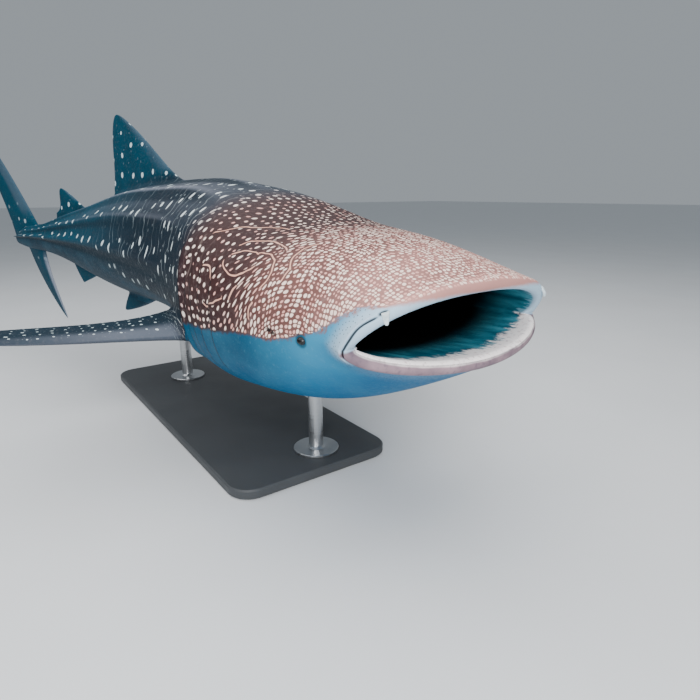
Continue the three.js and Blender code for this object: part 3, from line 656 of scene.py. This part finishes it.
def hide_finish(name):
    """Spotted hide: the back's colour under spots, cross lines and the cheek's arcs,
    then the belly, the lower lip and the mouth's lining each over its own share, and
    last the lightness of ridges, slits and folds. Fine grain and wrinkles in relief."""
    f = Hide(name)
    arcs, room = cheek_arcs(f)
    spots = f.times(f.larger(head_spots(f), trunk_spots(f)), f.minus(1.0, room))
    marks = f.larger(spots, f.larger(cross_lines(f), arcs))
    plain_lip = f.times(f.step(f.from_lip, -0.026, -0.014), f.step(f.under, -0.006, -0.018))
    marks = f.times(f.times(marks, f.spot_share), plain_lip)
    mark_colour = f.blend(f.step(f.head_chance, 0.30, 0.60), srgb(228, 170, 158), srgb(255, 228, 214))
    mark_colour = f.blend(f.step(f.warmth, 0.22, 0.55), srgb(214, 230, 232), mark_colour)
    mark_colour = f.blend(f.times(arcs, f.step(spots, 0.5, 0.0)), mark_colour, srgb(236, 176, 152))
    colour = f.blend(marks, back_colour(f), mark_colour)
    colour = f.blend(belly_share(f), colour, belly_colour(f))

    white = f.blend(f.step(f.grain, 0.50, 0.78), srgb(255, 246, 244), srgb(190, 166, 170))
    low_lip = f.times(f.step(f.angle, 0.90, 0.94), f.step(f.from_lip, 0.008, -0.004))
    colour = f.blend(low_lip, colour, low_lip_colour(f, white))
    colour = f.blend(f.step(f.depth, 0.0, 0.012), colour, lining_colour(f, white))

    colour = f.blend(f.step(f.light, 0.0, 1.0, 0.0, 0.85), colour, srgb(186, 190, 206))
    shade = f.blend(f.step(f.warmth, 0.30, 0.50), srgb(0, 30, 44), srgb(4, 8, 12))
    colour = f.blend(f.step(f.light, 0.0, -0.8, 0.0, 0.90), colour, shade)
    roughness = f.plus(f.step(f.grain, 0.3, 0.7, 0.46, 0.64), f.times(marks, -0.05))
    fine = f.noise(f.here, 260.0, 3.0, 0.65)
    wrinkles = f.noise(f.vector("MULTIPLY", f.here, (8.0, 20.0, 20.0)), 1.0, 3.0)
    height = f.plus(f.plus(f.times(fine, 0.25), wrinkles), f.times(marks, 0.12))
    return f.finish(colour, roughness, height, 0.004, 0.6, 0.13)


hide = hide_finish("spotted_hide")
skin.data.materials.append(hide)
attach(skin, "root")
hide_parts("head", "lower_jaw", "gill_region", "torso_front", "torso_rear", "tail_stalk")

# Fins
# Stiff fins of cartilage under the same hide, grown into the body with a soft
# fillet. Each is a streamlined section over its chord, carried from root to tip.
SIDES = (("left", 1), ("right", -1))
FOIL_POINTS = 33
BLUNT_EDGE = 0.004
STRIP_ROWS = 9
UNDER_SKIN = 0.002
chord = (1 - np.cos(np.linspace(0, np.pi, FOIL_POINTS))) / 2
loop_x = np.concatenate([chord, chord[-2:0:-1]])[None, :]
loop_side = np.concatenate([np.ones(FOIL_POINTS), -np.ones(FOIL_POINTS - 2)])[None, :]


def foil(x):
    """Half thickness of a streamlined section, 1 at its thickest, over the chord."""
    return 10 * (0.2969 * np.sqrt(x) - 0.126 * x - 0.3516 * x**2 + 0.2843 * x**3 - 0.1036 * x**4)


def blade_section(lead, trail, thick, flex, close):
    """Loop round one section of a fin, as the way along its chord and out from it: from
    lead to trail, by the foil's half thickness and a little more that keeps the edges
    blunt, drawn together by close at the tip and moved out by flex."""
    half = (trail - lead) / 2 * close
    way_along = (lead + trail) / 2 - half + 2 * half * loop_x
    blunt = BLUNT_EDGE * (1 - (2 * loop_x - 1) ** 8)
    return way_along, loop_side * (thick * foil(loop_x) + blunt) * close + flex


def fin_shape(root, span, chord_way, lead, trail, thick, flex):
    """Function of the share q of the span, 0 at the root and 1 at the tip: the root
    moved by q spans, with the section's loop along the chord's way and out from it."""
    root, span, way = np.array(root), np.array(span), np.array(chord_way, float)
    way /= np.linalg.norm(way)
    out_way = np.cross(way, span)
    out_way /= np.linalg.norm(out_way)

    def at(q):
        close = np.sqrt(np.maximum(1 - np.maximum(q, 0) ** 6, 0))
        way_along, out = blade_section(lead(q), trail(q), thick(q), flex(q), close)
        return root + way_along[..., None] * way + q[..., None] * span + out[..., None] * out_way

    return at


def halved(low, high, rounds, is_past):
    """Range halved again and again about the place where is_past turns true."""
    for _ in range(rounds):
        mid = (low + high) / 2
        past = is_past(mid)
        low, high = np.where(past, low, mid), np.where(past, mid, high)
    return low, high


def angle_on_body(points):
    """Section angle t of the points, by halving the range until the section at that
    angle points the same way from the body's line."""
    s, y, z = points[..., 0], np.abs(points[..., 1]), points[..., 2]
    aim = np.arctan2(y, z - widest(s))

    def is_past(t):
        on_skin = section(s, t)
        return np.arctan2(on_skin[..., 1], on_skin[..., 2] - widest(s)) > aim

    low, high = halved(np.zeros_like(s), np.full_like(s, np.pi), 26, is_past)
    return np.where(points[..., 1] < 0, -1.0, 1.0) * (low + high) / 2


def body_line(s):
    """Middle of the section at s, at the height where it is widest."""
    return np.stack([s, 0 * s, widest(s)], -1)


def from_line(points):
    """Distance of the points from the body's line, across it."""
    return np.linalg.norm((points - body_line(points[..., 0]))[..., 1:], axis=-1)


def outside_body(points):
    """Distance beyond the body's skin along the radius from its line."""
    return from_line(points) - from_line(section(points[..., 0], angle_on_body(points)))


def girth_to(s, t, parts=40):
    """Distance round the section from the top to the angle t."""
    turns = np.abs(t)[..., None] * np.linspace(0, 1, parts)
    path = section(s[..., None], turns)
    return np.linalg.norm(np.diff(path[..., 1:], axis=-2), axis=-1).sum(-1)


def rooted_rings(shape, fillet, rows):
    """Rings of a fin from its fillet on the body's skin to its tip. Each line from
    root to tip starts where it leaves the skin; the fillet is a bent strip between
    the skin beside the root and the fin a little above it."""
    low, high = np.full(loop_x.shape, -0.4), np.full(loop_x.shape, 0.6)
    q0 = halved(low, high, 24, lambda q: outside_body(shape(q)) > 0)[1]
    base = shape(q0)[0]
    reach = np.linalg.norm(shape(q0 + 0.01)[0] - base, axis=-1) / 0.01
    rise = (fillet / reach)[None]
    tangent = np.roll(base, -1, axis=0) - np.roll(base, 1, axis=0)
    t_base = angle_on_body(base)
    round_way = section(base[:, 0], t_base + 0.02) - section(base[:, 0], t_base - 0.02)
    aside = np.cross(tangent, np.cross(round_way, [1.0, 0, 0]))
    aside /= np.linalg.norm(aside, axis=-1, keepdims=True)
    aside *= np.sign(np.einsum("ij,ij->", aside, base - base.mean(0)))
    beside = base + fillet * aside
    beside = section(beside[:, 0], angle_on_body(beside))
    line = body_line(beside[:, 0])
    beside = line + (beside - line) * (1 - UNDER_SKIN / from_line(beside))[:, None]
    above = shape(q0 + rise)[0]
    bend = np.linspace(0, 1, STRIP_ROWS)[:, None, None]
    strip = (1 - bend) ** 2 * beside + 2 * bend * (1 - bend) * base + bend**2 * above
    way_up = np.sin(np.linspace(0, np.pi / 2, rows))[1:, None]
    q = q0 + rise + (1 - q0 - rise) * way_up
    sunk = line + (beside - line) * 0.9
    q_strip = q0 + rise * np.linspace(-0.1, 1, STRIP_ROWS + 1)[:, None]
    q_all = np.clip(np.concatenate([q_strip, q]), 0, 1)
    return np.concatenate([sunk[None], strip, shape(q)]), q_all


def fin_piece(name, node, shape, fillet, rows, dress):
    """A fin as a piece with the hide's attributes; dress changes them by (q, x)."""
    rings, q = rooted_rings(shape, fillet, rows)
    s = rings[..., 0]
    t = angle_on_body(rings)
    beyond = np.clip(outside_body(rings), 0, None)
    angle = side_degrees(t[:1]) + 0 * s
    girth_here = girth_to(s[:1], t[:1]) + 0 * s
    hand = np.where(rings[:1, :, 1] >= 0, 1.0, -1.0) + 0 * s
    fields = markings(s, girth_here, angle, hand)
    dress(fields, hand, beyond, q, loop_x + 0 * s)
    piece = rings_to_piece(name, placed(rings), fields)
    piece.data.materials.append(hide)
    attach(piece, "root")
    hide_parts(node)


def back_dress(fields, hand, beyond, q, x):
    """Fins of the back: the trunk's rows run on up the fin; a soft brown-grey front."""
    rows, flank, edge, tone = (fields[k] for k in ("trunk_rows", "flank", "edge", "tone"))
    grown = smooth(0.0, 0.10, beyond)
    rows[..., 1] -= hand * beyond / 0.17
    flank[..., 1] += beyond
    tone[..., 0] *= 1 - 0.8 * grown
    tone[..., 1] *= 1 - grown
    tone[..., 1] += grown * (-0.02 + 0.20 * hump(x, 0.22) + 0.10 * hump(x - 1, 0.03))
    tone[..., 2] = 1 - 0.5 * smooth(0.75, 0.95, q)
    edge[..., 0] = -1
    edge[..., 2] = -grown


def belly_dress(fields, hand, beyond, q, x):
    """Fins under the belly: pale at the root, dark grey-teal over the blade."""
    edge, tone = fields["edge"], fields["tone"]
    grown = smooth(0.01, 0.06, beyond)
    edge[..., 0] = edge[..., 0] * (1 - grown) - 0.2 * grown
    edge[..., 2] = -grown
    tone[..., 1] = 0.20 * hump(x, 0.10) + 0.12 * hump(x - 1, 0.05)
    tone[..., 2] = 0.25


def flare(q, size, width):
    """What a fin gains at its root, dying away up the span."""
    return size * np.exp(-np.maximum(q, 0) / width)


def tapered(half, root):
    """Half thickness that thins towards the tip and is thicker by root at the root."""
    return lambda q: half * (1 - 0.6 * q) + flare(q, root, 0.1)


def flat(q):
    """No bend."""
    return 0 * q


first_dorsal = fin_shape(
    (2.49, 0, 0.44), (0, 0, 0.52), (1, 0, 0),
    lambda q: 0.705 * q - 0.025 - flare(q, 0.25, 0.09),
    lambda q: 0.88 + 0.01 * q + flare(q, 0.06, 0.3),
    tapered(0.020, 0.022), flat,
)
fin_piece("first_dorsal_skin", "first_dorsal_fin", first_dorsal, 0.045, 60, back_dress)
second_dorsal = fin_shape(
    (3.83, 0, 0.25), (0, 0, 0.205), (1, 0, 0),
    lambda q: 0.335 * q - flare(q, 0.06, 0.1),
    lambda q: 0.43 + 0.015 * q - 0.04 * q * (1 - q) + flare(q, 0.08, 0.15),
    tapered(0.011, 0.010), flat,
)
fin_piece("second_dorsal_skin", "second_dorsal_fin", second_dorsal, 0.020, 36, back_dress)
anal = fin_shape(
    (3.79, 0, -0.13), (0, 0, -0.205), (1, 0, 0),
    lambda q: 0.25 - 0.54 * (1 - q),
    lambda q: 0.41 - 0.10 * q + flare(q, 0.04, 0.1),
    tapered(0.011, 0.010), flat,
)
fin_piece("anal_skin", "anal_fin", anal, 0.020, 36, belly_dress)


def pectoral_dress(fields, hand, beyond, q, x):
    """Pectoral fins: a thick grey-pink leading edge, behind it on top a dark band with
    rows of pale spots and dashes, a plainer underside, pale at its front edge."""
    rows, flank, edge, tone = (fields[k] for k in ("trunk_rows", "flank", "edge", "tone"))
    grown = smooth(0.01, 0.08, beyond)
    top = loop_side * hand > 0
    edge[..., 0] = edge[..., 0] * (1 - grown) - 0.3 * grown
    edge[..., 2] = -grown
    rows[..., 0] = (1 - grown) * rows[..., 0] + grown * beyond / 0.058
    rows[..., 1] = (1 - grown) * rows[..., 1] + grown * hand * (x * 5.2 + 20)
    flank[..., 0] = flank[..., 0] * (1 - grown) + grown * (2.2 + 0.4 * x)
    flank[..., 1] = flank[..., 1] * (1 - grown) + grown * beyond
    above = 0.30 * (1 - smooth(0.10, 0.40, x)) * (1 - 0.5 * smooth(0.3, 0.8, q))
    above = above + 0.10 * smooth(0.94, 1.0, x)
    below = 0.26 - 0.30 * smooth(0.06, 0.20, x) + 0.2 * smooth(0.4, 0.9, x)
    tone[..., 0] = tone[..., 0] * (1 - grown) + 0.22 * grown
    tone[..., 1] = tone[..., 1] * (1 - grown) + grown * np.where(top, above, below)
    tone[..., 2] = (1 - grown) + grown * np.where(top, smooth(0.02, 0.10, x), 0.25) * 0.9


for word, hand in SIDES:
    pectoral = fin_shape(
        (1.385, hand * 0.47, -0.262), (0.33, hand * 1.05, 0.005), (1, 0, 0.13),
        lambda q: 0.06 * np.maximum(q, 0) ** 1.6 - flare(q, 0.035, 0.08),
        lambda q: 0.40 - 0.12 * q - 0.11 * np.sin(np.pi * np.clip(q, 0, 1)) * (1 - q) + flare(q, 0.04, 0.1),
        lambda q: 0.030 * (1 - 0.75 * q) + flare(q, 0.026, 0.12),
        lambda q, hand=hand: hand * 0.03 * q * q,
    )
    fin_piece("pectoral_skin_" + word, "pectoral_fin_" + word, pectoral, 0.050, 80, pectoral_dress)
    pelvic = fin_shape(
        (2.62, hand * 0.11, -0.235), (0.04, hand * 0.07, -0.20), (1, 0, 0),
        lambda q: 0.40 * np.maximum(q, 0) ** 1.6,
        lambda q: 0.51 + 0.02 * q - 0.06 * q * (1 - q) + flare(q, 0.04, 0.1),
        tapered(0.013, 0.012), flat,
    )
    fin_piece("pelvic_skin_" + word, "pelvic_fin_" + word, pelvic, 0.020, 36, belly_dress)

# Tail fin
# Crescent tail of cartilage under the same hide: one blade with a tall upper lobe
# and a shorter lower lobe bent to the left, over the end of the tail stalk.
UPPER_LOBE, LOWER_LOBE, LOBE_ROOT_Z, LOWER_BEND = 1.10, 0.86, 0.04, 0.33

# Front and rear edges: powers of the share of the lobe's height
heights = np.concatenate([
    -LOWER_LOBE * np.sin(np.linspace(np.pi / 2, 0.02, 70)),
    UPPER_LOBE * np.sin(np.linspace(0.02, np.pi / 2, 84)),
])[:, None]
upper = heights >= 0
share = np.where(upper, heights / UPPER_LOBE, -heights / LOWER_LOBE)
lower_trail = 5.01 - 0.15 * smooth(0, 0.15, share) + 0.08 * share**2
tail_along, tail_out = blade_section(
    np.where(upper, 4.60 + 0.76 * share**1.1, 4.61 + 0.29 * share**1.3),
    np.where(upper, 5.01 + 0.50 * share**1.3, lower_trail),
    0.016 * (1 - 0.6 * share) + 0.014 * np.exp(-share / 0.12),
    np.where(upper, 0, LOWER_BEND * share**1.5),
    np.sqrt(np.maximum(1 - share**8, 0)),
)
tail_rings = np.stack([tail_along, tail_out, LOBE_ROOT_Z + heights + 0 * tail_out], -1)
tail_fields = markings(tail_along, np.abs(heights), 45.0, loop_side)
tail_fields["trunk_rows"][..., 1] = loop_side * (heights / 0.16)
tail_fields["edge"][..., 0] = -1
tail_fields["edge"][..., 2] = -smooth(0.05, 0.15, share)
lower_front = smooth(0.05, 0.3, -heights) * hump(loop_x, 0.16)
upper_front = smooth(0.0, 0.3, heights) * (1 - smooth(0.25, 0.60, loop_x))
tail_fields["tone"][..., 1] = 0.75 * lower_front + 0.30 * upper_front - 0.1
tail_fields["tone"][..., 2] = 0.55 * (1 - smooth(0.1, 0.35, share))
tail = rings_to_piece("tail_fin_skin", placed(tail_rings), tail_fields)
tail.data.materials.append(hide)
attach(tail, "root")
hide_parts("tail_fin")

# Eyes
# Small dark eyes low on the head behind the corners of the mouth, each a firm wet
# ball, lower than it is long and flatter on its inner side, set into the hide.
EYE_HEIGHT, INNER_HALF, EYE_BULGE = 0.74, 0.3, 0.06


def eye_finish():
    """Near-black ball: brownish iris about a darker pupil, greyer rim, wet and glossy."""
    f = Finish("wet_eye")
    ring = f.split(f.attribute("look"))[0]
    fleck = f.noise(f.place(), 700.0, 3.0)
    iris = f.blend(fleck, srgb(10, 11, 13), srgb(30, 28, 28))
    colour = f.blend(f.step(ring, 0.42, 0.50), srgb(2, 3, 4), iris)
    colour = f.blend(f.step(ring, 0.86, 0.98), colour, srgb(30, 34, 38))
    f.shader.inputs["Coat Weight"].default_value = 0.15
    return f.finish(colour, f.step(fleck, 0.0, 1.0, 0.22, 0.34), shine=0.25)


# Ball: rings of sin(dip), moved out by cos(dip), less on the inner side, with a
# bulge about the pupil; its middle lies EYE_DEPTH inside the cheek
wet_eye = eye_finish()
turn = np.linspace(0, 2 * np.pi, 48, endpoint=False)[None, :]
dip = np.linspace(0.04, np.pi - 0.04, 40)[:, None]
out = np.cos(dip) * np.where(dip < np.pi / 2, 1, INNER_HALF) + 0 * turn
ball = np.stack([np.sin(dip) * np.cos(turn), out, EYE_HEIGHT * np.sin(dip) * np.sin(turn)], -1)
ball *= 1 + EYE_BULGE * hump(dip, 0.45)[..., None]
eye_way = np.radians(EYE_ANGLE)
eye_middle = eye_at - EYE_DEPTH * np.array([0, np.sin(eye_way), np.cos(eye_way)])
look = np.stack([dip / 1.2 + 0 * turn, 0 * out, 0 * out], -1)
for word, hand in SIDES:
    points = (eye_middle + EYE_RADIUS * ball) * [1, hand, 1]
    eye = rings_to_piece("eyeball_" + word, placed(points), {"look": look})
    eye.data.materials.append(wet_eye)
    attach(eye, "root")
    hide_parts("eye_" + word)

# Barbels
# Two short fleshy flaps, one at the front of each nostril, grown out of the upper
# lip and hanging over it, thin and slightly waved.


def barbel_finish():
    """Pale bluish flesh with a faint mottle."""
    f = Finish("barbel_flesh")
    mottle = f.noise(f.place(), 90.0, 4.0)
    colour = f.blend(mottle, srgb(150, 180, 192), srgb(232, 236, 236))
    return f.finish(colour, f.step(mottle, 0.2, 0.8, 0.4, 0.6), mottle, 0.001, 0.5)


barbel_flesh = barbel_finish()
stations = np.concatenate([[-0.3], np.sin(np.linspace(0, np.pi / 2, 24))])[:, None]
for word, hand in SIDES:
    flap = fin_shape(
        lip(1.15, np.radians(NOSTRIL_DEGREES)) * [1, hand, 1],
        (-0.0095, hand * 0.0015, -0.0300), (0.35, hand, -0.25),
        lambda q: -0.013 + 0.006 * q,
        lambda q: 0.013 - 0.006 * q,
        lambda q: 0.0025 - 0.001 * q,
        lambda q: 0.004 * np.sin(3 * q),
    )
    barbel = rings_to_piece("barbel_" + word, placed(flap(stations)), {})
    barbel.data.materials.append(barbel_flesh)
    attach(barbel, "root")
    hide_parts("nasal_barbel_" + word)

# Stand
# Flat powder-coated base and two brushed steel rods with round feet: these are the
# model's own solids with better finishes.


def base_finish():
    """Charcoal powder coat: fine grain, slightly worn paler."""
    f = Finish("powder_coat")
    grain = f.noise(f.place(), 900.0)
    cloud = f.noise(f.place(), 3.0, 4.0)
    colour = f.blend(cloud, srgb(52, 55, 58), srgb(68, 71, 74))
    colour = f.blend(f.step(grain, 0.55, 0.75, 0.0, 0.3), colour, srgb(110, 112, 115))
    return f.finish(colour, f.step(cloud, 0.3, 0.7, 0.5, 0.65), grain, 0.0004, 0.6)


def steel_finish():
    """Brushed steel: fine rings of the lathe and soft smudges in the gloss."""
    f = Finish("brushed_steel")
    rings = f.noise(f.vector("MULTIPLY", f.place(), (2.0, 2.0, 700.0)), 1.0)
    smudge = f.noise(f.place(), 12.0, 3.0)
    colour = f.blend(rings, srgb(168, 170, 172), srgb(204, 206, 208))
    f.shader.inputs["Metallic"].default_value = 1.0
    rough = f.plus(f.step(rings, 0.3, 0.7, 0.26, 0.36), f.step(smudge, 0.4, 0.7, 0.0, 0.12))
    return f.finish(colour, rough, rings, 0.0002, 0.4)


powder_coat, brushed_steel = base_finish(), steel_finish()
stand = {"stand_base": powder_coat, "stand_rod_front": brushed_steel, "stand_rod_rear": brushed_steel}
for node, coat in stand.items():
    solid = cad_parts[node]
    solid.data.materials.clear()
    solid.data.materials.append(coat)

# Floor and light
# Plain pale floor under one large soft light overhead, with a smaller one before
# the head on its right side, in a pale blue room.
FLOOR_HALF, FLOOR_Z = 60, -0.002
floor_points = [(x * FLOOR_HALF, y * FLOOR_HALF, FLOOR_Z) for x, y in ((-1, -1), (1, -1), (1, 1), (-1, 1))]
floor_mesh = bpy.data.meshes.new("floor")
floor_mesh.from_pydata(floor_points, [], [(0, 1, 2, 3)])
floor = bpy.data.objects.new("floor", floor_mesh)
bpy.context.scene.collection.objects.link(floor)
pale = Finish("pale_floor")
speck = pale.noise(pale.place(), 1.5, 3.0)
floor_colour = pale.blend(speck, srgb(214, 216, 218), srgb(222, 224, 226))
floor.data.materials.append(pale.finish(floor_colour, pale.step(speck, 0.0, 1.0, 0.8, 0.9)))

world = bpy.data.worlds.new("room")
world.use_nodes = True
world.node_tree.nodes["Background"].inputs["Color"].default_value = (0.80, 0.88, 0.95, 1)
world.node_tree.nodes["Background"].inputs["Strength"].default_value = 0.40
bpy.context.scene.world = world


def turned(thing, place, right_way, up_way, back_way):
    """Put a light or a camera at a place, turned to its three directions."""
    matrix = np.eye(4)
    matrix[:3, :3] = np.stack([right_way, up_way, back_way], 1)
    matrix[:3, 3] = place
    thing.matrix_world = Matrix(matrix.tolist())
    bpy.context.scene.collection.objects.link(thing)


def soft_light(name, place, target, size, power):
    """Square area light at a place, facing its target."""
    data = bpy.data.lights.new(name, "AREA")
    data.size, data.energy = size, power
    back_way = np.array(place, float) - np.array(target, float)
    back_way /= np.linalg.norm(back_way)
    right_way = np.cross([0, 0, 1], back_way)
    right_way /= np.linalg.norm(right_way)
    turned(bpy.data.objects.new(name, data), place, right_way, np.cross(back_way, right_way), back_way)


soft_light("overhead", place=(0.0, -0.6, 6.0), target=(0.0, 0.01, 0.0), size=9.0, power=540)
soft_light("front", place=(5.2, -2.6, 3.0), target=(1.6, 0, 1.0), size=2.4, power=330)

# Camera
# Before and to the right of the head, a little above the body's line, wide angle;
# its place and directions were worked out from the outline in the photo.
VIEW_WIDTH_PIXELS, FOCAL_PIXELS, SENSOR_WIDTH = 700, 540.2, 36.0
right_way = np.array([0.58464, 0.81129, -0.00360])
down_way = np.array([0.22554, -0.16679, -0.95985])
ahead_way = np.array([-0.77931, 0.56035, -0.28049])
camera_data = bpy.data.cameras.new("camera")
camera_data.sensor_width = SENSOR_WIDTH
camera_data.lens = SENSOR_WIDTH * FOCAL_PIXELS / VIEW_WIDTH_PIXELS
camera = bpy.data.objects.new("camera", camera_data)
turned(camera, SNOUT + np.array([1.18, -1.386, 0.414]), right_way, -down_way, -ahead_way)
bpy.context.scene.camera = camera
